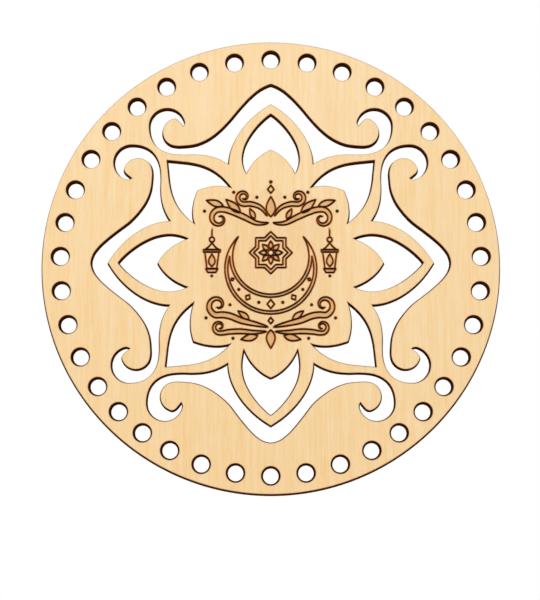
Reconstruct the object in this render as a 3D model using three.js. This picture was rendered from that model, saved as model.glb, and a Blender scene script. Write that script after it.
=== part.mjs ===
// Wooden festive plaque: a round plywood sheet with cut-out fretwork and a ring of lacing holes.
// Millimetres. The disc stands upright with its front towards -Y and its top towards +Z.
// The origin is the centre of the back face.
import * as THREE from 'three';

// The sheet is glued up from five plies.
const DISC_DIAMETER = 300;
const FACE_PLY = 1.2;
const CROSS_PLY = 1.2;
const CORE_PLY = 1.2;

// The ring of lacing holes starts with one at the top.
const LACING_HOLES = 38;
const LACING_HOLE_DIAMETER = 12.4;
const EDGE_WEB = 5.8;         // wood left between the lacing holes and the disc's edge
const HOLE_SHIFT = 2.6;       // degrees that a hole at the side lies lower than an even ring has it
const SHIFT_GROWN = 63;       // degrees from the top, up to where the shift grows
const SHIFT_FADES = 117;      // degrees from the top, from where it fades
const SHIFT_GONE = 160;       // degrees from the top, from where the holes lie evenly again

// Fretwork, from the medallion in the middle out to the rim.
const FRETWORK_RISE = 0.9;    // from the disc's centre up to the fretwork's
const SHOULDER_REACH = 51.4;  // from each axis to the corners of the medallion
const UPPER_CORNER_DROP = 2.8;      // how much less the medallion's two upper corners reach
const LOWER_CORNER_SAG = 0.7; // how much farther down the two lower corners reach
const LOWER_CORNER_TUCK = 0.8;      // how much less they reach sideways
const SHOULDER_CROWN = 3.1;   // rise of the medallion's shoulders over their corners
const LOBE_RISE = 24.7;       // from the shoulders' corners to the top and bottom lobe of the medallion
const SIDE_LOBE_DROP = 1.7;   // how much less the lobes at the sides reach
const WINDOW_HEIGHT = 24.8;   // from a lobe's tip to the tip of the petal's window
const WINDOW_WIDTH = 38.5;
const WINDOW_FOOT_DEPTH = 19; // from a lobe's tip down to the window's two lower points
const TOP_FOOT_LIFT = 2.7;    // how much less deep those points lie in the top window
const SIDE_FOOT_DROP = 1;     // how much deeper they lie in the windows at the sides
const WINDOW_FOOT_SPREAD = 32.3;    // between those two points
const BOTTOM_FOOT_SPREAD = 35.3;    // the same in the bottom window
const TIP_STRAP = 6.5;        // wood between a petal's window and the scroll past its tip
const PETAL_WIDTH = 55.9;
const PETAL_HEIGHT = 41.1;    // from the notches beside a petal to its tip
const SCROLL_WIDTH = 11.4;    // of the scroll cut-out past a petal's tip
const TOP_PEAK = 2.5;         // how much higher the pointed crest at the top is than the round ones
const FLANK_DROP = 0.64;      // share of the way from a crest down to the arms at which its flank turns
const TOP_FLANK_DROP = 0.57;  // the same at the top
const LEAF_LENGTH = 17.8;     // from the medallion's corner to the leaf's tip, along each axis
const LEAF_FOOT_DROP = 1.2;   // how much less the leaf's side points reach than the medallion's corner
const BOTTOM_FOOT_REACH = 2.1;      // how much more the side points by the bottom petal reach
const LEAF_FOOT_SPREAD = 51.7;      // between the side points of two neighbouring leaves
const LEAF_STRAP = 3.7;       // wood between the leaf's tip and the scroll's arm
const ARM_WIDTH = 6;          // of the scroll cut-out along its arm
const TONGUE_RADIUS = 9.4;    // of the wooden tongue inside a curl
const TONGUE_OFFSET = 10.3;   // from the next scroll's arm back to the middle of the tongue
const SIDE_TONGUE_OFFSET = 11.8;    // the same in the scrolls at the sides
const CURL_RADIUS = 12.1;     // of the outer edge of a curl
const CURL_OFFSET = 6.6;      // from the middle of the tongue to the middle of the curl, outwards
const CURL_RISE = 4.3;        // the same upwards
const TAIL_LENGTH = 12.6;     // from the crown of the curl's edge down to its pointed end
const RIM_WEB = 4.5;          // wood left between the curls and the lacing holes

// How finely curves are drawn.
const HOLE_SIDES = 10;
const DISC_SIDES = 2 * LACING_HOLES;
const CURVE_SAG = 0.35;       // greatest distance between a curve and its chords

const DISC_RADIUS = DISC_DIAMETER / 2;
const HOLE_RADIUS = LACING_HOLE_DIAMETER / 2;
const RING_RADIUS = DISC_RADIUS - EDGE_WEB - HOLE_RADIUS;

// A point of one side of the fretwork: across its axis, and outwards along it.
const at = (across, outwards) => new THREE.Vector2(across, outwards);

const straight = (from, to) => new THREE.LineCurve(from, to);

// A smooth curve whose two handles are given as shares of the way across and outwards between its ends.
function bend(from, to, ...shares) {
  const [first, second] = shares.map(([across, outwards]) => {
    const handle = at(across, outwards).multiply(to.clone().sub(from));
    return handle.add(from);
  });
  return new THREE.CubicBezierCurve(from, first, second, to);
}

function arc(centre, radius, fromDegrees, toDegrees) {
  const clockwise = toDegrees < fromDegrees;
  const [from, to] = [fromDegrees, toDegrees].map(THREE.MathUtils.degToRad);
  return new THREE.EllipseCurve(centre.x, centre.y, radius, radius, from, to, clockwise);
}

function sag(curve, from, to) {
  const start = curve.getPoint(from);
  const chord = curve.getPoint(to).sub(start);
  const middle = curve.getPoint((from + to) / 2).sub(start);
  return Math.abs(chord.cross(middle)) / chord.length();
}

// The greatest sag of a curve that is drawn in so many chords.
function coarseness(curve, steps) {
  const sags = Array.from({ length: steps }, (_, i) => sag(curve, i / steps, (i + 1) / steps));
  return Math.max(...sags);
}

// The points of a curve, close enough together for the sag allowed, without its last point.
function trace(curve) {
  let steps = curve.isLineCurve ? 1 : 2;
  while (coarseness(curve, steps) > CURVE_SAG) {
    steps += 1;
  }
  return curve.getPoints(steps).slice(0, -1);
}

// A closed outline from the curves of its right half, which run from one point of the axis to another.
function mirrored(curves) {
  const right = curves.flatMap(trace);
  const last = curves.at(-1).getPoint(1);
  const left = right.slice(1).reverse().map((point) => at(-point.x, point.y));
  return [...right, last, ...left];
}

// One side of the fretwork. The four sides differ a little in their lobes, feet, crests and tongues.
function sideLevels(differences) {
  const usual = { lobeDrop: 0, footDrop: 0, peak: 0, flankDrop: FLANK_DROP, tongueOffset: TONGUE_OFFSET };
  const { lobeDrop, footDrop, peak, flankDrop, tongueOffset } = { ...usual, ...differences };
  const lobe = SHOULDER_REACH + LOBE_RISE - lobeDrop;
  const windowTip = SHOULDER_REACH + LOBE_RISE + WINDOW_HEIGHT;
  const petalTip = windowTip + TIP_STRAP;
  const arm = SHOULDER_REACH + LEAF_LENGTH + LEAF_STRAP;
  return {
    lobe,
    windowFoot: lobe - WINDOW_FOOT_DEPTH - footDrop,
    windowTip,
    petalTip,
    notch: petalTip - PETAL_HEIGHT,
    crest: petalTip + SCROLL_WIDTH,
    peak,
    flankDrop,
    arm,
    shelf: arm + ARM_WIDTH,
    tongueOffset,
  };
}

// The window inside a petal: a pointed arch over the lobe of the medallion.
function petalWindow({ lobe, windowFoot, windowTip }, footSpread = WINDOW_FOOT_SPREAD) {
  const tip = at(0, windowTip);
  const waist = at(WINDOW_WIDTH / 2, lobe - (lobe - windowFoot) * 0.36);
  const foot = at(footSpread / 2, windowFoot);
  return mirrored([
    bend(tip, waist, [0.31, 0.12], [1, 0.57]),
    bend(waist, foot, [0, 0.4], [0.46, 0.75]),
    bend(foot, at(0, lobe), [0.2, 0.5], [0.62, 0.86]),
  ]);
}

// The scroll cut-out round a petal. It rises over the petal's tip, and each arm ends in a curl.
function scroll({ petalTip, notch, crest, peak, flankDrop, arm, shelf, tongueOffset }) {
  const petalFoot = at(PETAL_WIDTH / 2, notch);
  const crown = at(0, crest + peak);
  const flank = at(petalFoot.x, crest - (crest - shelf) * flankDrop);
  const tongue = at(arm - tongueOffset, shelf + TONGUE_RADIUS);
  const shelfEnd = at(tongue.x, shelf);
  const shelfStart = at(tongue.x - TONGUE_RADIUS / 3, shelf);
  const tongueEdge = arc(tongue, TONGUE_RADIUS, -90, 78);
  const curl = at(tongue.x + CURL_OFFSET, tongue.y + CURL_RISE);
  const curlEdge = arc(curl, CURL_RADIUS, 165, -5);
  const tail = at(curl.x - CURL_RADIUS * 0.89, curl.y + CURL_RADIUS - TAIL_LENGTH);
  const armMiddle = at(tongue.x - TONGUE_RADIUS * 0.37, arm);
  return mirrored([
    bend(crown, flank, [0.34, peak / (crown.y - flank.y)], [0.62, 0.48]),
    bend(flank, shelfStart, [0.3, 0.63], [0.57, 1]),
    straight(shelfStart, shelfEnd),
    tongueEdge,
    bend(tongueEdge.getPoint(1), tail, [0.37, -0.04], [0.66, 0.51]),
    bend(tail, curlEdge.getPoint(0), [0.78, 0.34], [1.44, 0.61]),
    curlEdge,
    bend(curlEdge.getPoint(1), armMiddle, [0.02, 0.68], [0.41, 1]),
    bend(armMiddle, petalFoot, [0.4, -0.07], [0.67, -0.03]),
    bend(petalFoot, at(0, petalTip), [0, 0.36], [0.39, 0.76]),
  ]);
}

// The leaf between two petals, with its tip on the diagonal. Its shoulders meet in the medallion's corner,
// and each of its two feet stands beside a petal.
function leaf(corner, footReaches) {
  const tip = at(SHOULDER_REACH + LEAF_LENGTH, SHOULDER_REACH + LEAF_LENGTH);
  const half = (end, footReach) => {
    const foot = at(LEAF_FOOT_SPREAD / 2, footReach);
    const shoulder = new THREE.CubicBezierCurve(
      foot,
      at(foot.x + (end.x - foot.x) * 0.25, foot.y + SHOULDER_CROWN * 0.8),
      at(end.x - (end.x - foot.x) * 0.36, end.y + SHOULDER_CROWN * 1.15),
      end,
    );
    return [bend(tip, foot, [0.37, 0.1], [0.69, 0.03]), shoulder].flatMap(trace);
  };
  const across = (point) => at(point.y, point.x);
  const first = half(corner, footReaches[0]);
  const second = half(across(corner), footReaches[1]).map(across);
  return [...first, corner, ...second.slice(1).reverse()];
}

const turned = (points, degrees) =>
  points.map((point) => point.clone().rotateAround(new THREE.Vector2(), THREE.MathUtils.degToRad(degrees)));

function ring(radius, sides, centre = at(0, 0)) {
  const points = [];
  for (let i = 0; i < sides; i += 1) {
    const angle = (2 * Math.PI * i) / sides;
    points.push(at(centre.x - radius * Math.sin(angle), centre.y + radius * Math.cos(angle)));
  }
  return points;
}

// The cut-outs of the four quarters, clockwise from the top: a petal's window, the scroll round it and
// the leaf after it. Together they fill the disc as far as the web inside the lacing holes.
function fretwork() {
  const top = { peak: TOP_PEAK, footDrop: -TOP_FOOT_LIFT, flankDrop: TOP_FLANK_DROP };
  const side = { lobeDrop: SIDE_LOBE_DROP, footDrop: SIDE_FOOT_DROP, tongueOffset: SIDE_TONGUE_OFFSET };
  const upperCorner = SHOULDER_REACH - UPPER_CORNER_DROP;
  const low = SHOULDER_REACH + LOWER_CORNER_SAG;
  const wide = SHOULDER_REACH - LOWER_CORNER_TUCK;
  const foot = SHOULDER_REACH - LEAF_FOOT_DROP;
  const bottomFoot = SHOULDER_REACH + BOTTOM_FOOT_REACH;
  const upperLeaf = leaf(at(upperCorner, upperCorner), [foot, foot]);
  const quarters = [
    { levels: sideLevels(top), after: upperLeaf },
    { levels: sideLevels(side), after: leaf(at(low, wide), [foot, bottomFoot]) },
    { levels: sideLevels({}), footSpread: BOTTOM_FOOT_SPREAD, after: leaf(at(wide, low), [bottomFoot, foot]) },
    { levels: sideLevels(side), after: upperLeaf },
  ];
  const outlines = quarters.flatMap(({ levels, footSpread, after }, quarter) => {
    const cutOuts = [petalWindow(levels, footSpread), scroll(levels), after];
    return cutOuts.map((outline) => turned(outline, -90 * quarter));
  });
  outlines.flat().forEach((point) => point.add(at(0, FRETWORK_RISE)));
  const reach = Math.max(...outlines.flat().map((point) => point.length()));
  const fit = (RING_RADIUS - HOLE_RADIUS - RIM_WEB) / reach;
  outlines.flat().forEach((point) => point.multiplyScalar(fit));
  return outlines;
}

// How far a hole has moved down round the ring from its even place, in degrees.
function holeShift(fromTop) {
  const grown = Math.sin((Math.min(fromTop / SHIFT_GROWN, 1) * Math.PI) / 2);
  return HOLE_SHIFT * grown * (1 - THREE.MathUtils.smoothstep(fromTop, SHIFT_FADES, SHIFT_GONE));
}

function lacingHoles() {
  const holes = [];
  for (let i = 0; i < LACING_HOLES; i += 1) {
    const even = (360 * i) / LACING_HOLES;
    const shift = even < 180 ? holeShift(even) : -holeShift(360 - even);
    const angle = THREE.MathUtils.degToRad(even + shift);
    const centre = at(RING_RADIUS * Math.sin(angle), RING_RADIUS * Math.cos(angle));
    holes.push(ring(HOLE_RADIUS, HOLE_SIDES, centre));
  }
  return holes;
}

const sheet = new THREE.Shape(ring(DISC_RADIUS, DISC_SIDES));
sheet.holes = [...lacingHoles(), ...fretwork()].map((points) => new THREE.Path(points));

const faceWood = new THREE.MeshStandardMaterial({ color: 0xf2cf9f, roughness: 0.6, metalness: 0 });
const innerWood = new THREE.MeshStandardMaterial({ color: 0x5b3a24, roughness: 0.85, metalness: 0 });

// Every ply has the same outline, because the glued sheet is cut through in one go.
const plies = [
  { name: 'back_veneer', thickness: FACE_PLY, material: faceWood },
  { name: 'back_crossband', thickness: CROSS_PLY, material: innerWood },
  { name: 'core_ply', thickness: CORE_PLY, material: innerWood },
  { name: 'front_crossband', thickness: CROSS_PLY, material: innerWood },
  { name: 'front_veneer', thickness: FACE_PLY, material: faceWood },
];

const plaque = new THREE.Group();
plaque.rotation.x = Math.PI / 2;
let height = 0;
for (const { name, thickness, material } of plies) {
  const geometry = new THREE.ExtrudeGeometry(sheet, { depth: thickness, bevelEnabled: false });
  const ply = new THREE.Mesh(geometry, material);
  ply.name = name;
  ply.position.z = height;
  plaque.add(ply);
  height += thickness;
}

export default plaque;
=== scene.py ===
"""Wooden festive plaque: the looks of a disc laser-cut from five-ply plywood.

Metres, in the model's frame: the front faces -Y and the top +Z. An outline is rows of (x, z) with the
wood on its left, seen from the front. Sizes of the carving are in millimetres.
"""

import math

import bpy
import numpy as np
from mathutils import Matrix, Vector
from mathutils.geometry import delaunay_2d_cdt
from mathutils.kdtree import KDTree


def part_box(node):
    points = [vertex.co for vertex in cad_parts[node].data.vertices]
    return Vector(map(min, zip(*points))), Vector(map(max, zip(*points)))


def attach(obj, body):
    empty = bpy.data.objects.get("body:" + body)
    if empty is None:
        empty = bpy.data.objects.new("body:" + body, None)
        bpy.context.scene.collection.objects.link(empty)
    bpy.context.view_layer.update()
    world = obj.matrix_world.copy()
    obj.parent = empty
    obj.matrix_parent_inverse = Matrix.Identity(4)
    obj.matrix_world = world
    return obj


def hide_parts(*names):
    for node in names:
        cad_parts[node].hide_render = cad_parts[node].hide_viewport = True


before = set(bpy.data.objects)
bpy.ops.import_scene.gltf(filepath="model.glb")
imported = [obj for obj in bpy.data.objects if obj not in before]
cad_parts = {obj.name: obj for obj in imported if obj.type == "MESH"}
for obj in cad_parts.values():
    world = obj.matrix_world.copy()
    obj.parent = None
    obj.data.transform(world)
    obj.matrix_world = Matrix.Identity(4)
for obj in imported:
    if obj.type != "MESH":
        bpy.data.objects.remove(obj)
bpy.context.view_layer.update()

MM = 0.001
PLIES = ("front_veneer", "front_crossband", "core_ply", "back_crossband", "back_veneer")
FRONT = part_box(PLIES[0])[0].y
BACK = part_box(PLIES[-1])[1].y
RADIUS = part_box(PLIES[0])[1].x

# The cut.
OUTLINE_STEP = 1.0 * MM       # between the points of a cut's outline
CORNER = math.radians(45)     # an outline that turns more than this at a point has a corner there
ROUND_WITHIN = 0.02 * MM      # an outline whose radii differ by less than this is a true circle
FLAT_WITHIN = 0.01 * MM       # a facet this close to the plane of a ply's front lies in it
MITRE_LIMIT = 0.45            # the least cosine that a corner's normal is lengthened by
SHARP = math.radians(28)      # the shading breaks along an edge that turns more than this
EDGE_BREAK = 0.14 * MM        # the burnt arris along the front and back
GLUE_GROOVE = 0.05 * MM       # how far a glue line lies behind the plies beside it
GLUE_CHAMFER = 0.07 * MM
ARRIS_DEPTH = 1.5             # how deep the wall's browner front arris reaches, in mm
WINDOW_TAPER = 0.8 * MM       # how far a window's wall leans into the cut from front to back
HOLE_TAPER = 1.25 * MM
RIM_TAPER = 1.05 * MM
RIM_SETBACK = 0.3 * MM        # how much of the rim the kerf takes off at the front
LEAN_HALVINGS = 9             # steps that find how far a wall can lean before it meets another
LEAN_CLEARANCE = 0.97         # the share of its lean that a wall keeps from the other walls
FACE_ROWS = (0.35, 0.8, 1.6, 3.0)           # rows of points beside a cut, in mm, that carry its scorch
BACK_ROWS = (0.5, 1.2, 2.4, 4.5)
ROW_CLEARANCE = 0.8           # the share of its distance that a row keeps from the other cuts

# The carved lines.
GROOVE_HALF_WIDTH = 0.42
GROOVE_DEPTH = 0.5 * MM
CARVE_STEP = 0.5
CARVE_ROWS = (0.2, GROOVE_HALF_WIDTH, 0.7, 1.15)
DOT_ROWS = (0, 0.3, 0.75)     # rings of points round a carved dot
DOT_SHADE = 0.7                # how dark a dot's painted groove shade is: 1 as a level line, 0 as an upright one
CLEAR_OF_CARVING = 3.0        # a point this far from a carved line counts as far away
POINT_SPACING = 0.14          # the least distance between two loose points of a face
NEIGHBOURS = 4                # pieces of line among which a point's nearest is found
TINY = 1e-9                   # keeps a division by a length of zero harmless


# Curves.


def smooth(points, step):
    """A centripetal Catmull-Rom curve through the points, at about that step."""
    p = np.asarray(points, float)
    if len(p) == 2:
        count = max(1, round(np.linalg.norm(p[1] - p[0]) / step))
        return p[0] + (p[1] - p[0]) * np.linspace(0, 1, count + 1)[:, None]
    p = np.vstack([3 * p[0] - 3 * p[1] + p[2], p, 3 * p[-1] - 3 * p[-2] + p[-3]])
    traced = []
    for a, b, c, d in zip(p, p[1:], p[2:], p[3:]):
        t1 = math.sqrt(np.linalg.norm(b - a))
        t2 = t1 + math.sqrt(np.linalg.norm(c - b))
        t3 = t2 + math.sqrt(np.linalg.norm(d - c))
        count = max(1, round(np.linalg.norm(c - b) / step))
        t = np.linspace(t1, t2, count, endpoint=False)[:, None]
        ab = a + (b - a) * t / t1
        bc = b + (c - b) * (t - t1) / (t2 - t1)
        cd = c + (d - c) * (t - t2) / (t3 - t2)
        abc = ab + (bc - ab) * t / t2
        bcd = bc + (cd - bc) * (t - t1) / (t3 - t1)
        traced.append(abc + (bcd - abc) * (t - t1) / (t2 - t1))
    return np.vstack([*traced, p[-2]])


def polar(centre, radius, degrees):
    angle = np.radians(degrees)
    return np.asarray(centre) + np.stack([radius * np.cos(angle), radius * np.sin(angle)], -1)


def arc(centre, radius, start, end, step):
    count = max(3, math.ceil(abs(math.radians(end - start)) * radius / step))
    return polar(centre, np.full(count + 1, radius), np.linspace(start, end, count + 1))


def doubled_area(points):
    ahead = np.roll(points, -1, axis=0)
    return (points[:, 0] * ahead[:, 1] - points[:, 1] * ahead[:, 0]).sum()


def left_normals(points):
    """At each point of a closed outline, the way into the wood, long enough to keep its sides parallel."""
    side = np.roll(points, -1, axis=0) - points
    side /= np.linalg.norm(side, axis=1)[:, None]
    ahead = np.stack([-side[:, 1], side[:, 0]], 1)
    middle = ahead + np.roll(ahead, 1, axis=0)
    middle /= np.linalg.norm(middle, axis=1)[:, None]
    return middle / np.maximum((middle * ahead).sum(1), MITRE_LIMIT)[:, None]


# The cut outlines.


def cut_outlines(node):
    """The closed outlines of a node's front face, as its faceted solid has them."""
    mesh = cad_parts[node].data
    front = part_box(node)[0].y
    onward = {}
    for face in mesh.polygons:
        corners = [mesh.vertices[i].co for i in face.vertices]
        if max(abs(corner.y - front) for corner in corners) > FLAT_WITHIN:
            continue
        keys = [(round(corner.x, 6), round(corner.z, 6)) for corner in corners]
        for a, b in zip(keys, keys[1:] + keys[:1]):
            if onward.get(b, {}).pop(a, None) is None:
                onward.setdefault(a, {})[b] = True
    following = {a: next(iter(b)) for a, b in onward.items() if b}
    outlines = []
    while following:
        point, outline = next(iter(following)), []
        while point in following:
            outline.append(point)
            point = following.pop(point)
        outlines.append(np.array(outline))
    return sorted(outlines, key=doubled_area, reverse=True)


def rounded(points):
    """The smooth outline that a faceted one stands for: a true circle, or curves between its corners."""
    centre = points.mean(0)
    radii = np.linalg.norm(points - centre, axis=1)
    if np.ptp(radii) < ROUND_WITHIN:
        turn = math.copysign(360, doubled_area(points))
        return arc(centre, radii.mean(), 90, 90 + turn, OUTLINE_STEP)[:-1]
    ahead = np.roll(points, -1, axis=0) - points
    heading = np.arctan2(ahead[:, 1], ahead[:, 0])
    turned = np.abs((heading - np.roll(heading, 1) + math.pi) % (2 * math.pi) - math.pi)
    corners = np.flatnonzero(turned > CORNER)
    curves = []
    for first, last in zip(corners, [*corners[1:], corners[0] + len(points)]):
        curve = np.take(points, range(first, last + 1), axis=0, mode="wrap")
        curves.append(smooth(curve, OUTLINE_STEP)[:-1])
    return np.vstack(curves)


# The carved ornament, in mm.
# A crescent cradles an eight-pointed star between two lanterns, with vines above and below.

CRESCENT = np.array([0.0, -3.0])
CRESCENT_RADIUS = 30.0
BOWL_RADIUS = 25.0            # of the crescent's inner edge
BOWL_LIFT = 8.0               # from the middle of the outer edge's circle up to the inner one's
CRESCENT_BORDER = 1.9
STAR = np.array([0.0, 7.5])
STAR_RADIUS = 14.0
STAR_POINTS = 8
STAR_BORDER = 2.8
STAR_WAIST = 0.765            # inner corners of two crossed squares, as a share of the outer ones
GEM_PITCH = 16.5              # degrees between the diamonds and dots along the crescent
LANTERN = np.array([38.6, 4.0])
LEAF_WIDEST = 0.4             # where a leaf is widest, as a share of its length
RIBBON_LEAD = 0.8             # below 1, a ribbon is widest before its middle
RIBBON_FULLNESS = 0.75        # below 1, it stays wide nearer to its ends
SPIRAL_POINTS = 10


def ribbon(points, width):
    """The outline of a stroke that swells from pointed ends."""
    line = smooth(points, CARVE_STEP)
    tangent = np.gradient(line, axis=0)
    tangent /= np.linalg.norm(tangent, axis=1)[:, None]
    run = np.r_[0, np.cumsum(np.linalg.norm(np.diff(line, axis=0), axis=1))]
    swell = np.sin(math.pi * (run / run[-1]) ** RIBBON_LEAD) ** RIBBON_FULLNESS
    side = np.stack([-tangent[:, 1], tangent[:, 0]], 1) * (width / 2 * swell)[:, None]
    return np.vstack([line + side, (line - side)[-2:0:-1]])


def vine(stem, eye, radius, start, turn, width, closing=0.2):
    """A ribbon along a stem that winds up in a spiral round its eye."""
    share = np.linspace(0, 1, SPIRAL_POINTS)
    spiral = polar(eye, radius * (1 - (1 - closing) * share), start + turn * share)
    return ribbon(np.vstack([stem, spiral]), width)


def leaf(foot, tip, width):
    foot, tip = np.asarray(foot, float), np.asarray(tip, float)
    along = tip - foot
    side = np.array([-along[1], along[0]]) / np.linalg.norm(along) * width / 2
    one = smooth([foot, foot + LEAF_WIDEST * along + side, tip], CARVE_STEP)
    other = smooth([tip, foot + LEAF_WIDEST * along - side, foot], CARVE_STEP)
    return np.vstack([one[:-1], other[:-1]])


def diamond(centre, width, height, turn=0):
    across, up = polar((0, 0), width / 2, turn), polar((0, 0), height / 2, turn + 90)
    return np.asarray(centre) + np.array([across, up, -across, -up])


def star(radius):
    corner = np.arange(2 * STAR_POINTS)
    radii = np.where(corner % 2 == 0, radius, radius * STAR_WAIST)
    return polar(STAR, radii, 90 + 180 / STAR_POINTS * corner)


def crescent(border):
    """The crescent's outline, drawn in by a border."""
    outer, inner = CRESCENT_RADIUS - border, BOWL_RADIUS + border
    rise = (outer**2 - inner**2 + BOWL_LIFT**2) / (2 * BOWL_LIFT)
    outer_horn = math.degrees(math.asin(rise / outer))
    inner_horn = math.degrees(math.asin((rise - BOWL_LIFT) / inner))
    back = arc(CRESCENT, outer, outer_horn, -180 - outer_horn, CARVE_STEP)
    bowl = arc(CRESCENT + [0, BOWL_LIFT], inner, -180 - inner_horn, inner_horn, CARVE_STEP)
    return np.vstack([back[:-1], bowl[:-1]])


def circle(centre, radius):
    return arc(centre, radius, 0, 360, CARVE_STEP)[:-1]


def lantern():
    """One lantern: its closed outlines, the tinted ones among them, its cord and its pendant dot."""
    roof = np.vstack(
        [
            smooth(LANTERN + [(0, 10.6), (1.6, 8.0), (4.4, 5.6)], CARVE_STEP)[:-1],
            LANTERN + [(4.4, 5.6)],
            smooth(LANTERN + [(-4.4, 5.6), (-1.6, 8.0), (0, 10.6)], CARVE_STEP)[:-1],
        ]
    )
    glass = LANTERN + [(-4.6, 3.9), (4.6, 3.9), (3.2, -7.0), (-3.2, -7.0)]
    eaves = LANTERN + [(-5.5, 5.5), (5.5, 5.5), (5.5, 4.0), (-5.5, 4.0)]
    foot = LANTERN + [(-3.9, -7.2), (3.9, -7.2), (2.6, -9.6), (-2.6, -9.6)]
    flame = leaf(LANTERN + [0, -5.6], LANTERN + [0, 2.6], 4.2)
    outlines = [roof, glass, circle(LANTERN + [0, 12.2], 1.6)]
    cord = LANTERN + [(0, 13.8), (0, 18.4)]
    return outlines, [eaves, foot, flame], [cord], [(LANTERN + [0, -11.9], 0.8)]


def ornament():
    """The whole carving: closed outlines, tinted outlines, open lines and dots of (centre, radius)."""
    outlines, tinted, lines, dots = lantern()
    tinted += [
        vine([(1.6, 27.5), (9, 27.2), (17, 31.0), (25, 34.6)], (33.6, 30.2), 6.6, 112, -395, 3.6),
        vine([(2.5, 32.0), (6.5, 37.5), (13, 40)], (17.8, 44.6), 4.6, -80, 380, 2.9, 0.25),
        vine([(2.0, -41.5), (10, -39.6), (19, -37.4), (26.5, -34.4)], (34.6, -27.2), 7.2, -118, 410, 3.8),
        vine([(3.0, -44.5), (11, -45), (20, -44.4), (27.6, -44.8)], (33.4, -41.4), 4.4, -112, 380, 3, 0.25),
        leaf((20, 34.2), (29.5, 43.0), 4.6),
        leaf((31.4, 38.8), (42.4, 42.4), 4.0),
        leaf((10.5, 30.2), (13.8, 36.8), 3.0),
        leaf((14.2, -36.4), (21.4, -31.0), 3.4),
        leaf((8.6, -47.4), (19.5, -49.8), 4.2),
    ]
    dots += [((24.4, 47.8), 0.9), ((9.2, 44.5), 0.9), ((43.6, 35.2), 0.9)]
    dots += [((24.6, -49.0), 0.9), ((42.2, -35.6), 0.9), ((26.6, -27.0), 0.9)]
    mirror = np.array([-1, 1])
    outlines += [shape * mirror for shape in outlines]
    tinted += [shape * mirror for shape in tinted]
    lines += [shape * mirror for shape in lines]
    dots += [(np.multiply(centre, mirror), radius) for centre, radius in dots]
    # On the middle line.
    outlines += [crescent(0), crescent(CRESCENT_BORDER), star(STAR_RADIUS), star(STAR_RADIUS - STAR_BORDER)]
    outlines += [circle(STAR, 1.9), diamond((0, 49.8), 4.2, 5.4), diamond((0, -37.4), 3.4, 4.2)]
    tinted += [leaf((0, 31.5), (0, 45.0), 6.0), leaf((0, -43.5), (0, -55.5), 5.6)]
    for k in range(STAR_POINTS):
        tinted.append(leaf(*polar(STAR, np.array([2.5, 7.7]), 90 + 360 / STAR_POINTS * k), 2.9))
    dots.append(((0, 54.8), 1.0))
    belly = CRESCENT + [0, BOWL_LIFT / 2]
    reach = (CRESCENT_RADIUS + BOWL_RADIUS) / 2
    for k in range(-4, 5):
        bearing, size = -90 + GEM_PITCH * k, 1 - abs(k) / 6.5
        centre = polar(belly, reach, bearing)
        if k % 2:
            dots.append((centre, 0.9))
        else:
            outlines.append(diamond(centre, 5.8 * size, 4.8 * size, bearing))
    return outlines, tinted, lines, dots


def evenly(points, closed):
    """The points of a carved line, with more between them where they lie far apart."""
    ends = np.roll(points, -1, axis=0) if closed else points[1:]
    parts = []
    for a, b in zip(points, ends):
        count = max(1, round(np.linalg.norm(b - a) / CARVE_STEP))
        parts.append(a + (b - a) * np.linspace(0, 1, count, endpoint=False)[:, None])
    return np.vstack(parts if closed else [*parts, points[-1:]])


# Faces of the sheet.

CONVEX_HULL = 0               # the triangulation fills the points' convex hull
CDT_WITHIN = 1e-5             # points this close, in mm, become one


def nearest(lines, points):
    """How far the nearest of some lines lies, given as (points, closed), and how level it runs there."""
    starts = np.vstack([line if closed else line[:-1] for line, closed in lines])
    ends = np.vstack([np.roll(line, -1, axis=0) if closed else line[1:] for line, closed in lines])
    middles = (starts + ends) / 2
    tree = KDTree(len(middles))
    for i, (x, z) in enumerate(middles):
        tree.insert((x, 0, z), i)
    tree.balance()
    near = np.array([[i for _, i, _ in tree.find_n((x, 0, z), NEIGHBOURS)] for x, z in points])
    a, b, p = starts[near], ends[near], points[:, None]
    side = b - a
    share = ((p - a) * side).sum(2) / np.maximum((side * side).sum(2), TINY**2)
    foot = a + side * np.clip(share, 0, 1)[:, :, None]
    distances = np.linalg.norm(p - foot, axis=2)
    run = side[np.arange(len(side)), distances.argmin(1)]
    return distances.min(1), np.abs(run[:, 0]) / np.maximum(np.linalg.norm(run, axis=1), TINY)


def distance_to(lines, points):
    return nearest(lines, points)[0]


def inside(shape, points):
    a, b = shape, np.roll(shape, -1, axis=0)
    x, z = points[:, :1], points[:, 1:]
    spans = (a[:, 1] > z) != (b[:, 1] > z)
    rise = np.where(a[:, 1] == b[:, 1], 1, b[:, 1] - a[:, 1])
    crossing = a[:, 0] + (z - a[:, 1]) * (b[:, 0] - a[:, 0]) / rise
    return (spans & (x < crossing)).sum(1) % 2 == 1


def rows_beside(outlines, rows):
    """Loose points at each distance from the cuts, without those that come near another cut."""
    kept = []
    lines = [(outline, True) for outline in outlines]
    for row in rows:
        points = np.vstack([outline + left_normals(outline) * row * MM for outline in outlines])
        kept.append(points[distance_to(lines, points) > ROW_CLEARANCE * row * MM])
    return np.vstack(kept)


def thinned(points, spacing, taken):
    """The points that lie in a cell of their own, clear of those already taken."""
    cells = set(map(tuple, np.round(taken / spacing).astype(int)))
    kept = []
    for point, cell in zip(points, np.round(points / spacing).astype(int)):
        if tuple(cell) not in cells:
            cells.add(tuple(cell))
            kept.append(point)
    return np.array(kept)


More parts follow.
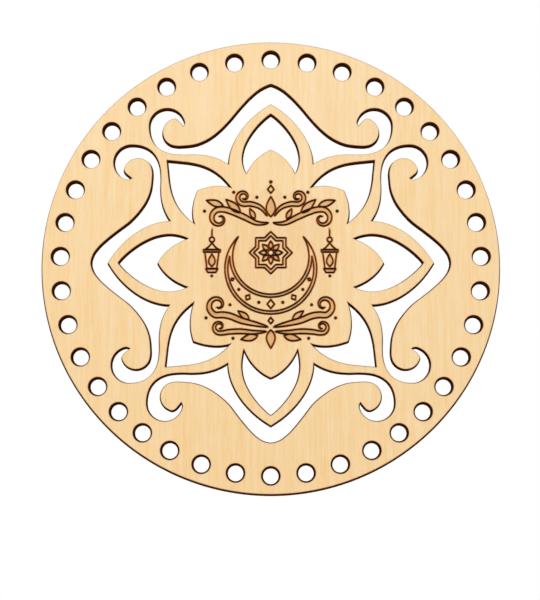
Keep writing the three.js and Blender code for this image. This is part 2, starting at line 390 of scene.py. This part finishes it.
def triangulated(outlines, loose=(), lines=()):
    """Points and triangles over the wood: the outlines' points first, then what lies between them."""
    edges, owner, count = [], [], 0
    for number, outline in enumerate(outlines):
        ring = np.arange(count, count + len(outline))
        edges += np.stack([ring, np.roll(ring, -1)], 1).tolist()
        owner += [number] * len(outline)
        count += len(outline)
    rim = count
    parts = list(outlines)
    for line, closed in lines:
        ring = np.arange(count, count + len(line))
        pairs = np.stack([ring, np.roll(ring, -1)], 1).tolist()
        edges += pairs if closed else pairs[:-1]
        parts.append(line)
        count += len(line)
    if len(loose):
        parts.append(loose)
    flat = np.vstack(parts)
    given = [Vector(point) for point in flat / MM]
    found, _, faces, sources, _, _ = delaunay_2d_cdt(given, edges, [], CONVEX_HULL, CDT_WITHIN)
    points = flat[:rim].tolist()
    place = []
    for point, source in zip(found, sources):
        if source and min(source) < rim:
            place.append(min(source))
        else:
            place.append(len(points))
            points.append((point.x * MM, point.y * MM))
    points = np.array(points)
    triangles = np.array([[place[i] for i in face] for face in faces])
    corners = points[np.sort(triangles, axis=1)]
    one, other = corners[:, 1] - corners[:, 0], corners[:, 2] - corners[:, 0]
    in_order = one[:, 0] * other[:, 1] - one[:, 1] * other[:, 0] > 0
    owner = np.array(owner + [-1] * (len(points) - rim))[triangles]
    same_cut = (owner[:, 0] >= 0) & (owner == owner[:, :1]).all(1)
    return points, triangles[~same_cut | in_order]


# Plies.


def wall_taper(outline):
    radii = np.linalg.norm(outline - outline.mean(0), axis=1)
    if np.ptp(radii) > ROUND_WITHIN:
        return WINDOW_TAPER
    return RIM_TAPER if radii.mean() > RADIUS / 2 else HOLE_TAPER


def lean(outlines, normals):
    """How far the wall at each outline point leans out: less where two walls of a cut would meet."""
    flat = np.vstack(outlines)
    lines = [(outline, True) for outline in outlines]
    tried = np.concatenate([np.full(len(outline), wall_taper(outline)) for outline in outlines])
    least, most = np.zeros(len(flat)), tried
    for _ in range(LEAN_HALVINGS):
        free = distance_to(lines, flat - normals * tried[:, None]) > LEAN_CLEARANCE * tried
        least, most = np.where(free, tried, least), np.where(free, most, tried)
        tried = (least + most) / 2
    return least


def thickness_profile(ply):
    """The ply's wall from front to back as (how far it lies in the wood, share of the lean, y)."""
    low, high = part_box(ply)
    front_edge, back_edge = (EDGE_BREAK if y in (FRONT, BACK) else GLUE_GROOVE for y in (low.y, high.y))
    front_depth, back_depth = (EDGE_BREAK if y in (FRONT, BACK) else GLUE_CHAMFER for y in (low.y, high.y))
    wall = [(front_edge, low.y), (0, low.y + front_depth), (0, high.y - back_depth), (back_edge, high.y)]
    return [(depth, (y - FRONT) / (BACK - FRONT), y) for depth, y in wall]


def run_along(outlines):
    """How far along its outline each point lies."""
    steps = [np.linalg.norm(np.diff(outline, axis=0, prepend=outline[:1]), axis=1) for outline in outlines]
    return np.concatenate([np.cumsum(step) for step in steps])


def wall_faces(outlines, levels):
    """Quads round every cut, from each level of outline points to the next."""
    rim = sum(len(outline) for outline in outlines)
    faces, first = [], 0
    for outline in outlines:
        here = np.arange(first, first + len(outline))
        ahead = np.roll(here, -1)
        for level in range(levels - 1):
            near, far = level * rim, (level + 1) * rim
            faces += np.stack([ahead + near, here + near, here + far, ahead + far], 1).tolist()
        first += len(outline)
    return faces


def build_ply(name, outlines, materials, front, back):
    """A closed ply, whose dressed faces are given as (points, triangles, heights, attributes)."""
    profile = thickness_profile(name)
    last = len(profile) - 1
    flat = np.vstack(outlines)
    rim = len(flat)
    normals = np.vstack([left_normals(outline) for outline in outlines])
    leaning = lean(outlines, normals)
    points = []
    for depth, share, y in profile:
        inward = depth - leaning * share
        points.append(np.insert(flat + normals * inward[:, None], 1, y, axis=1))
    values = {"run": [run_along(outlines)] * len(profile)}
    for key, on_wall in (("cut", 0.0), ("carve", CLEAR_OF_CARVING), ("tint", 0.0), ("level", 0.0)):
        values[key] = [np.full(rim, on_wall)] * len(profile)
    faces = wall_faces(outlines, len(profile))
    kinds = [1] * len(faces)
    count = len(profile) * rim
    for level, cap, order in ((0, front, 1), (last, back, -1)):
        spots, triangles, heights, attributes = cap
        index = np.r_[np.arange(rim) + level * rim, np.arange(len(spots) - rim) + count]
        points.append(np.insert(spots[rim:], 1, profile[level][2] + heights[rim:], axis=1))
        for key, columns in values.items():
            columns.append(attributes.get(key, np.zeros(len(spots)))[rim:])
            columns[level] = attributes.get(key, columns[level])[:rim]
        faces += index[triangles][:, ::order].tolist()
        kinds += [0] * len(triangles)
        count += len(spots) - rim
    mesh = bpy.data.meshes.new(name + "_wood")
    mesh.from_pydata(np.vstack(points).tolist(), [], faces)
    for key, columns in values.items():
        column = mesh.attributes.new(key, "FLOAT", "POINT")
        column.data.foreach_set("value", np.concatenate(columns).astype(np.float32))
    for material in materials:
        mesh.materials.append(material)
    mesh.polygons.foreach_set("material_index", kinds)
    mesh.shade_smooth()
    mesh.set_sharp_from_angle(angle=SHARP)
    mesh.update()
    piece = bpy.data.objects.new(name + "_wood", mesh)
    bpy.context.scene.collection.objects.link(piece)
    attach(piece, "root")
    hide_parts(name)


def beside_lines(lines, rows):
    """Rows of points on both sides of some lines, given as (points, closed)."""
    beside = []
    for row in rows:
        for line, closed in lines:
            tangent = np.gradient(line, axis=0)
            if closed:
                tangent = np.roll(line, -1, axis=0) - np.roll(line, 1, axis=0)
            tangent /= np.linalg.norm(tangent, axis=1)[:, None]
            normal = np.stack([-tangent[:, 1], tangent[:, 0]], 1)
            beside += [line + normal * row * MM, line - normal * row * MM]
    return beside


def tint_of(shapes, points):
    """1 at each point that lies in one of the tinted shapes."""
    tint = np.zeros(len(points))
    for shape in shapes:
        low, high = shape.min(0) * MM, shape.max(0) * MM
        near = np.flatnonzero(((points > low) & (points < high)).all(1))
        tint[near] = np.maximum(tint[near], inside(shape * MM, points[near]))
    return tint


def carved_face(outlines):
    """The front: its scorched margins along the cuts and the grooves of the ornament."""
    shapes, tinted, open_lines, dots = ornament()
    lines = [(evenly(shape, True) * MM, True) for shape in [*shapes, *tinted]]
    lines += [(evenly(line, False) * MM, False) for line in open_lines]
    centres = np.array([centre for centre, _ in dots]) * MM
    cores = np.array([radius - GROOVE_HALF_WIDTH for _, radius in dots]) * MM
    rings = [circle(centre, radius + row) * MM for centre, radius in dots for row in DOT_ROWS]
    taken = np.vstack([line for line, _ in lines])
    loose = np.vstack([centres, *rings, *beside_lines(lines, CARVE_ROWS)])
    loose = np.vstack([thinned(loose, POINT_SPACING * MM, taken), rows_beside(outlines, FACE_ROWS)])
    points, triangles = triangulated(outlines, loose, lines)
    carve, level = nearest(lines, points)
    from_dots = np.maximum((np.linalg.norm(points[:, None] - centres, axis=2) - cores).min(1), 0)
    # A dot gets a fixed share of the painted groove shade.
    level[from_dots < carve] = DOT_SHADE
    carve = np.minimum(carve, from_dots) / MM
    heights = GROOVE_DEPTH * np.clip(1 - carve / GROOVE_HALF_WIDTH, 0, 1)
    attributes = {
        "carve": np.minimum(carve, CLEAR_OF_CARVING),
        "tint": tint_of(tinted, points),
        # how level the nearest line runs, which sets the painted shade in its groove
        "level": level,
        "cut": cut_distances(outlines, points, max(FACE_ROWS)),
    }
    return points, triangles, heights, attributes


def cut_distances(outlines, points, limit):
    lines = [(outline, True) for outline in outlines]
    return np.minimum(distance_to(lines, points) / MM, limit)


def plain_face(outlines, rows=()):
    loose = rows_beside(outlines, rows) if rows else ()
    points, triangles = triangulated(outlines, loose)
    attributes = {"carve": np.full(len(points), CLEAR_OF_CARVING)}
    if rows:
        attributes["cut"] = cut_distances(outlines, points, max(rows))
    return points, triangles, np.zeros(len(points)), attributes


# Materials.

VENEER_RELIEF = 0.035 * MM    # the height of the fibres, lines and pores
EDGE_RELIEF = 0.08 * MM       # the height of the laser's stripes on a cut wall
FLOOR_RELIEF = 0.02 * MM


def paint(red, green, blue):
    """A colour given as it looks on a screen, 0 to 255."""
    shares = (red / 255, green / 255, blue / 255)
    return (*(c / 12.92 if c < 0.04045 else ((c + 0.055) / 1.055) ** 2.4 for c in shares), 1)


def new_material(name):
    material = bpy.data.materials.new(name)
    material.use_nodes = True
    material.node_tree.nodes.clear()
    return material, material.node_tree


def add(tree, kind, inputs=None, **settings):
    """A new node. Each input is a value or the output of another node."""
    node = tree.nodes.new(kind)
    for key, value in settings.items():
        setattr(node, key, value)
    for key, value in (inputs or {}).items():
        if isinstance(value, bpy.types.NodeSocket):
            tree.links.new(value, node.inputs[key])
        else:
            node.inputs[key].default_value = value
    return node


def maths(tree, operation, *values):
    return add(tree, "ShaderNodeMath", dict(enumerate(values)), operation=operation).outputs[0]


def mixed(tree, factor, one, other):
    return add(tree, "ShaderNodeMix", {0: factor, 6: one, 7: other}, data_type="RGBA").outputs[2]


def attribute(tree, name):
    return add(tree, "ShaderNodeAttribute", attribute_name=name).outputs["Fac"]


def noise(tree, place, size, detail=2.0, roughness=0.5, distortion=0.0):
    """Noise whose patches have about that size, in mm along x, y and z."""
    scale = [1 / (MM * s) for s in size]
    scaled = add(tree, "ShaderNodeMapping", {0: place, "Scale": scale}, vector_type="POINT")
    inputs = {
        "Vector": scaled.outputs[0],
        "Scale": 1.0,
        "Detail": detail,
        "Roughness": roughness,
        "Distortion": distortion,
    }
    return add(tree, "ShaderNodeTexNoise", inputs).outputs["Fac"]


def ramp(tree, factor, *stops, interpolation="LINEAR"):
    """A colour ramp from (position, colour) stops."""
    node = add(tree, "ShaderNodeValToRGB", {0: factor})
    elements = node.color_ramp.elements
    node.color_ramp.interpolation = interpolation
    while len(elements) < len(stops):
        elements.new(0.5)
    for element, (position, colour) in zip(elements, stops):
        element.position, element.color = position, colour
    return node


def faded(colour, strength):
    return (*colour[:3], strength)


def surface(tree, colour, roughness, height, distance, specular):
    bump = add(tree, "ShaderNodeBump", {"Strength": 1.0, "Distance": distance, "Height": height})
    inputs = {
        "Base Color": colour,
        "Roughness": roughness,
        "Normal": bump.outputs[0],
        "Specular IOR Level": specular,
    }
    return add(tree, "ShaderNodeBsdfPrincipled", inputs).outputs[0]


def finish_material(tree, shader):
    add(tree, "ShaderNodeOutputMaterial", {0: shader})


def grain(tree, place):
    """Unburnt veneer: its colour, painted lighter towards the top as painted light from above, its fibres
    and lines, and how much of it is pore.
    """
    bands = noise(tree, place, (17, 40, 420), 1.5)
    streaks = noise(tree, place, (2.8, 20, 60), 3, 0.55, 0.25)
    lines = noise(tree, place, (0.85, 10, 17), 2, 0.6, 0.1)
    fibres = noise(tree, place, (0.28, 3, 7), 2, 0.6)
    pores = noise(tree, place, (0.22, 2, 2.4), 1)
    ripple = noise(tree, place, (7, 20, 11), 2)
    # Painted light: height makes the veneer lighter towards the top, as if lit from above.
    up = add(tree, "ShaderNodeSeparateXYZ", {0: place}).outputs["Z"]
    tone = maths(tree, "MULTIPLY_ADD", bands, 0.24, maths(tree, "MULTIPLY_ADD", up, 0.5, 0.37))
    for layer, share in ((streaks, 0.7), (lines, 0.7), (fibres, 0.3), (ripple, 0.24)):
        tone = maths(tree, "ADD", tone, maths(tree, "MULTIPLY_ADD", layer, share, -share / 2))
    wood = ramp(
        tree,
        tone,
        (0.0, paint(240, 192, 124)),
        (0.3, paint(247, 209, 151)),
        (0.6, paint(249, 218, 170)),
        (1.0, paint(252, 228, 190)),
    ).outputs[0]
    pore = ramp(tree, pores, (0.66, (0, 0, 0, 1)), (0.74, (1, 1, 1, 1))).outputs[0]
    wood = mixed(tree, maths(tree, "MULTIPLY", pore, 0.22), wood, paint(186, 136, 84))
    return wood, fibres, lines, pore


def tinted_wood(tree, wood, carve, smoulder):
    """The wood with its tinted shapes, darker beside their lines."""
    soot = maths(tree, "DIVIDE", carve, 2.4)
    soot = ramp(tree, soot, (0.12, (1, 1, 1, 1)), (0.7, (0.45, 0.45, 0.45, 1))).outputs[0]
    soot = maths(tree, "MULTIPLY", soot, maths(tree, "MULTIPLY_ADD", smoulder, 0.9, 0.85))
    tint = maths(tree, "MULTIPLY", attribute(tree, "tint"), soot)
    return mixed(tree, tint, wood, paint(200, 136, 64))


def carved_wood(tree, wood, carve, smoulder):
    """The wood with its carved lines, and how burnt it is.

    Level lines are painted black as painted shade inside their grooves, upright lines stay burnt brown.
    """
    carve = maths(tree, "DIVIDE", carve, 1.4)
    brown = ramp(
        tree,
        carve,
        (0.0, paint(106, 53, 18)),
        (0.3, paint(128, 66, 24)),
        (0.42, paint(182, 106, 46)),
        (0.56, paint(220, 150, 80)),
        (1.0, paint(230, 180, 122)),
    ).outputs[0]
    black = ramp(
        tree,
        carve,
        (0.0, faded(paint(28, 14, 6), 1)),
        (0.3, faded(paint(48, 25, 10), 1)),
        (0.42, faded(paint(120, 66, 28), 0.9)),
        (0.56, faded(paint(198, 128, 66), 0.58)),
        (0.75, faded(paint(220, 160, 98), 0.22)),
        (1.0, faded(paint(228, 176, 118), 0)),
    )
    # Painted shade: level lines are darkened to black and upright ones kept brown, as the shade on a
    # groove's upper wall; random patches mix in.
    level = maths(tree, "MULTIPLY_ADD", smoulder, 1.2, attribute(tree, "level"))
    painted_groove_shade = ramp(tree, level, (0.2, (0, 0, 0, 1)), (0.8, (1, 1, 1, 1))).outputs[0]
    burn = black.outputs[1]
    return mixed(tree, burn, wood, mixed(tree, painted_groove_shade, brown, black.outputs[0])), burn


def scorched_wood(tree, wood, flicker, smoulder, smoke):
    """The wood with its scorched margins beside the cuts, wide and dark where smoke is 1."""
    cut = maths(tree, "MULTIPLY_ADD", flicker, 0.35, attribute(tree, "cut"))
    cut = maths(tree, "ADD", cut, maths(tree, "MULTIPLY", smoulder, 0.6 * smoke))
    cut = maths(tree, "DIVIDE", cut, 1.1 + 2.4 * smoke)
    scorch = ramp(
        tree,
        cut,
        (0.0, faded(paint(120, 66, 36), 0.5 + 0.5 * smoke)),
        (0.16, faded(paint(168, 106, 60), 0.4 + 0.4 * smoke)),
        (0.36, faded(paint(204, 148, 92), 0.2 + 0.4 * smoke)),
        (0.65, faded(paint(218, 168, 114), 0.07 + 0.36 * smoke)),
        (1.0, faded(paint(226, 180, 128), 0)),
    )
    return mixed(tree, scorch.outputs[1], wood, scorch.outputs[0])


def veneer(name, smoke):
    """Pale straight-grained veneer, scorched by its distance to cuts and carved lines."""
    material, tree = new_material(name)
    place = add(tree, "ShaderNodeTexCoord").outputs["Object"]
    wood, fibres, lines, pore = grain(tree, place)
    flicker = maths(tree, "SUBTRACT", noise(tree, place, (0.9, 0.9, 1.4), 3, 0.6), 0.5)
    smoulder = maths(tree, "SUBTRACT", noise(tree, place, (5, 5, 8), 2), 0.5)
    carve = maths(tree, "MULTIPLY_ADD", flicker, 0.3, attribute(tree, "carve"))
    wood = tinted_wood(tree, wood, carve, smoulder)
    wood, burn = carved_wood(tree, wood, carve, smoulder)
    wood = scorched_wood(tree, wood, flicker, smoulder, smoke)
    rough = maths(tree, "MULTIPLY_ADD", fibres, 0.2, 0.5)
    rough = maths(tree, "ADD", rough, maths(tree, "MULTIPLY", burn, 0.2))
    height = maths(tree, "MULTIPLY_ADD", lines, 0.8, fibres)
    height = maths(tree, "MULTIPLY_ADD", pore, -0.6, height)
    finish_material(tree, surface(tree, wood, rough, height, VENEER_RELIEF, 0.12))
    return material


def scorched_edge(name, dark, light, fibre_size):
    """The charred wall of a cut, striped by the laser across the sheet."""
    material, tree = new_material(name)
    place = add(tree, "ShaderNodeTexCoord").outputs["Object"]
    depth = add(tree, "ShaderNodeSeparateXYZ", {0: place}).outputs["Y"]
    along = add(tree, "ShaderNodeCombineXYZ", {"X": attribute(tree, "run"), "Y": depth}).outputs[0]
    stripes = noise(tree, along, (0.35, 5, 1), 2, 0.6)
    patches = noise(tree, along, (6, 1.6, 1), 2)
    fibres = noise(tree, along, fibre_size, 2, 0.6)
    tone = maths(tree, "MULTIPLY_ADD", stripes, 0.5, maths(tree, "MULTIPLY_ADD", patches, 0.6, -0.2))
    tone = maths(tree, "ADD", tone, maths(tree, "MULTIPLY_ADD", fibres, 0.3, -0.15))
    colour = ramp(tree, tone, (0.15, dark), (0.85, light)).outputs[0]
    inward = maths(tree, "MULTIPLY_ADD", depth, 1 / (ARRIS_DEPTH * MM), -FRONT / (ARRIS_DEPTH * MM))
    arris = ramp(tree, inward, (0.1, faded(paint(138, 78, 44), 0.85)), (1.0, faded(paint(84, 40, 20), 0)))
    colour = mixed(tree, arris.outputs[1], colour, arris.outputs[0])
    rough = maths(tree, "MULTIPLY_ADD", fibres, 0.25, 0.65)
    height = maths(tree, "ADD", stripes, maths(tree, "MULTIPLY", fibres, 0.6))
    finish_material(tree, surface(tree, colour, rough, height, EDGE_RELIEF, 0.0))
    return material


# The plaque.

outlines = [rounded(outline) for outline in cut_outlines(PLIES[0])]
outlines[0] *= 1 - RIM_SETBACK / RADIUS     # the largest outline, which comes first, is the rim
front_veneer = veneer("front_veneer_face", smoke=0.0)
back_veneer = veneer("back_veneer_face", smoke=1.0)
veneer_edge = scorched_edge("veneer_edge", paint(50, 21, 9), paint(124, 66, 34), (3, 0.25, 1))
crossband_edge = scorched_edge("crossband_edge", paint(24, 8, 3), paint(56, 23, 10), (0.4, 0.4, 1))
core_edge = scorched_edge("core_edge", paint(46, 19, 8), paint(116, 60, 30), (3, 0.3, 1))
inner_face = plain_face(outlines)
build_ply("front_veneer", outlines, [front_veneer, veneer_edge], carved_face(outlines), inner_face)
build_ply("front_crossband", outlines, [front_veneer, crossband_edge], inner_face, inner_face)
build_ply("core_ply", outlines, [front_veneer, core_edge], inner_face, inner_face)
build_ply("back_crossband", outlines, [front_veneer, crossband_edge], inner_face, inner_face)
build_ply("back_veneer", outlines, [back_veneer, veneer_edge], inner_face, plain_face(outlines, BACK_ROWS))


# Stage, light and camera.

FLOOR_DEPTH = 0.35            # from the disc's middle down to the floor
FLOOR_HALF_SIZE = 8.0
FLOOR_FADE = 1.9              # where the floor has faded into the backdrop
CAMERA_DISTANCE = 1.25
CAMERA_TILT = math.radians(9.3)       # the camera looks up by this much
LENS = 114.6                  # mm, for a film 36 mm high
PICTURE_HEIGHT = 600          # pixels
DISC_OFF_CENTRE = (0.8, 36.0)         # pixels from the picture's middle to the disc's, right and up


def seen(tree):
    """1 for what the camera sees, also by reflection or through glass."""
    path = add(tree, "ShaderNodeLightPath").outputs
    indirect = maths(tree, "MAXIMUM", path["Is Glossy Ray"], path["Is Transmission Ray"])
    return maths(tree, "MAXIMUM", path["Is Camera Ray"], indirect)


def add_floor():
    """A pale floor that fades into the white backdrop away from the disc."""
    half, low = FLOOR_HALF_SIZE, -FLOOR_DEPTH
    mesh = bpy.data.meshes.new("floor")
    corners = [(-half, -half, low), (half, -half, low), (half, half, low), (-half, half, low)]
    mesh.from_pydata(corners, [], [(0, 1, 2, 3)])
    material, tree = new_material("floor")
    place = add(tree, "ShaderNodeTexCoord").outputs["Object"]
    speckle = noise(tree, place, (3, 3, 3), 2)
    colour = ramp(tree, speckle, (0.3, paint(247, 247, 247)), (0.7, paint(250, 250, 250))).outputs[0]
    pale = surface(tree, colour, 0.9, speckle, FLOOR_RELIEF, 0.1)
    white = add(tree, "ShaderNodeEmission", {0: (1, 1, 1, 1), 1: 1.0}).outputs[0]
    away = add(tree, "ShaderNodeVectorMath", {0: place}, operation="LENGTH").outputs["Value"]
    away = maths(tree, "DIVIDE", away, FLOOR_FADE)
    fade = ramp(tree, away, (0.3, (0, 0, 0, 1)), (1.0, (1, 1, 1, 1)), interpolation="EASE").outputs[0]
    fade = maths(tree, "MULTIPLY", fade, seen(tree))
    shader = add(tree, "ShaderNodeMixShader", {0: fade, 1: pale, 2: white})
    finish_material(tree, shader.outputs[0])
    mesh.materials.append(material)
    floor = bpy.data.objects.new("floor", mesh)
    bpy.context.scene.collection.objects.link(floor)


def add_world(ambient):
    world = bpy.data.worlds.new("studio")
    world.use_nodes = True
    tree = world.node_tree
    tree.nodes.clear()
    light = add(tree, "ShaderNodeBackground", {0: (1, 1, 1, 1), 1: ambient}).outputs[0]
    backdrop = add(tree, "ShaderNodeBackground", {0: (1, 1, 1, 1), 1: 1.0}).outputs[0]
    both = add(tree, "ShaderNodeMixShader", {0: seen(tree), 1: light, 2: backdrop}).outputs[0]
    add(tree, "ShaderNodeOutputWorld", {0: both})
    bpy.context.scene.world = world


def add_softbox(name, place, power, size):
    light = bpy.data.lights.new(name, "AREA")
    light.energy, light.size = power, size
    lamp = bpy.data.objects.new(name, light)
    lamp.location = place
    lamp.rotation_euler = (-Vector(place)).to_track_quat("-Z", "Y").to_euler()
    bpy.context.scene.collection.objects.link(lamp)


def add_camera():
    data = bpy.data.cameras.new("camera")
    data.lens = LENS
    data.shift_x, data.shift_y = (-pixels / PICTURE_HEIGHT for pixels in DISC_OFF_CENTRE)
    camera = bpy.data.objects.new("camera", data)
    back = Vector((0, -math.cos(CAMERA_TILT), -math.sin(CAMERA_TILT)))
    camera.location = Vector((0, FRONT, 0)) + back * CAMERA_DISTANCE
    camera.rotation_euler = (-back).to_track_quat("-Z", "Y").to_euler()
    bpy.context.scene.collection.objects.link(camera)
    bpy.context.scene.camera = camera


add_floor()
add_world(ambient=0.6)
add_softbox("key", (-0.5, -1.1, 1.35), power=13.2, size=0.9)
add_softbox("fill", (1.6, -1.8, 0.2), power=5.5, size=1.4)
add_softbox("rim", (0.6, 2.0, 1.2), power=8, size=1.2)
add_camera()
bpy.context.scene.view_settings.view_transform = "Standard"
